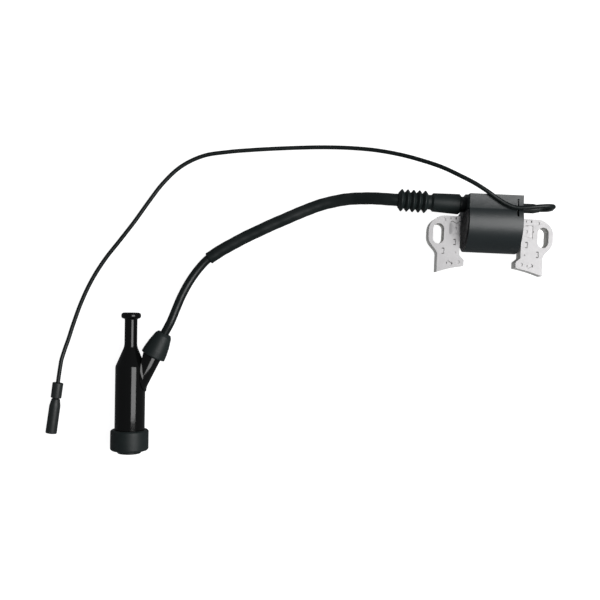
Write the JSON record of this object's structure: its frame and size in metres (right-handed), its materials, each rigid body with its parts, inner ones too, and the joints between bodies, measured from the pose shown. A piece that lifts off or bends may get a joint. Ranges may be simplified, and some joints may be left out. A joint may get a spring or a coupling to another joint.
{
  "type": "ignition coil",
  "caption": "Flywheel ignition coil with a laminated U core, a potted case, a sleeved high-tension lead to a bottle-shaped plug cap, and a stop wire with a bullet connector.",
  "frame": {"origin": "midway between the centres of the two mounting slots, on the core's mounting face", "axes": "+X from the lead-outlet side's slot to the stop-terminal side's slot, +Y away from the flywheel, +Z out of the engine, away from the mounting face"},
  "size_m": [0.3011, 0.1931, 0.0362],
  "materials": {
    "core_steel": "satin, stamped and lightly oxidised",
    "case_plastic": "fine moulded grain",
    "resin": "cast, rough where it was poured",
    "bobbin_plastic": "moulded",
    "copper_wire": "enamelled copper",
    "board_laminate": "coated laminate",
    "component_body": "moulded",
    "brass_metal": "bright",
    "spring_steel": "bright",
    "wire_vinyl": "satin vinyl",
    "boot_rubber": "satin moulded rubber",
    "lead_rubber": "smooth, slightly glossy",
    "cap_phenolic": "glossy moulded phenolic",
    "resistor_ceramic": "glazed ceramic"
  },
  "bodies": {
    "coil": {"left_leg_stack": "core_steel", "right_leg_stack": "core_steel", "core_bar_stack": "core_steel", "coil_case": "case_plastic", "potting_resin": "resin", "primary_bobbin": "bobbin_plastic", "primary_winding": "copper_wire", "secondary_bobbin": "bobbin_plastic", "secondary_winding": "copper_wire", "ignition_board": "board_laminate", "switching_transistor": "component_body", "board_components": "component_body", "earth_strip": "brass_metal", "lead_contact_pin": "brass_metal", "stop_blade": "brass_metal", "blade_receptacle": "brass_metal", "terminal_sleeve": "wire_vinyl", "stop_wire": "wire_vinyl", "bullet_receptacle": "brass_metal", "bellows_boot": "boot_rubber", "lead_sleeve": "lead_rubber", "ht_lead": "lead_rubber", "ht_lead_core": "copper_wire"},
    "plug_cap": {"cap_body": "cap_phenolic", "cap_plug_seal": "boot_rubber", "cap_lead_screw": "brass_metal", "cap_resistor": "resistor_ceramic", "cap_contact_block": "brass_metal", "cap_contact_spring": "spring_steel", "cap_plug_socket": "brass_metal"},
    "branch_boot": {"cap_branch_boot": "boot_rubber"},
    "connector_sleeves": {"wire_sleeve": "wire_vinyl", "bullet_sleeve": "wire_vinyl"}
  },
  "joints": [
    {"name": "cap_swivel", "type": "hinge", "parent": "coil", "child": "plug_cap", "pos_m": [-0.2022, -0.0881, -0.0007], "axis": [0.4215, 0.9068, 0], "range_deg": [-90, 90]},
    {"name": "branch_boot_slide", "type": "slide", "parent": "plug_cap", "child": "branch_boot", "axis": [0.4215, 0.9068, 0], "range_m": [0, 0.008]},
    {"name": "sleeve_slide", "type": "slide", "parent": "coil", "child": "connector_sleeves", "axis": [0.0958, 0.9954, 0], "range_m": [0, 0.012]}
  ]
}
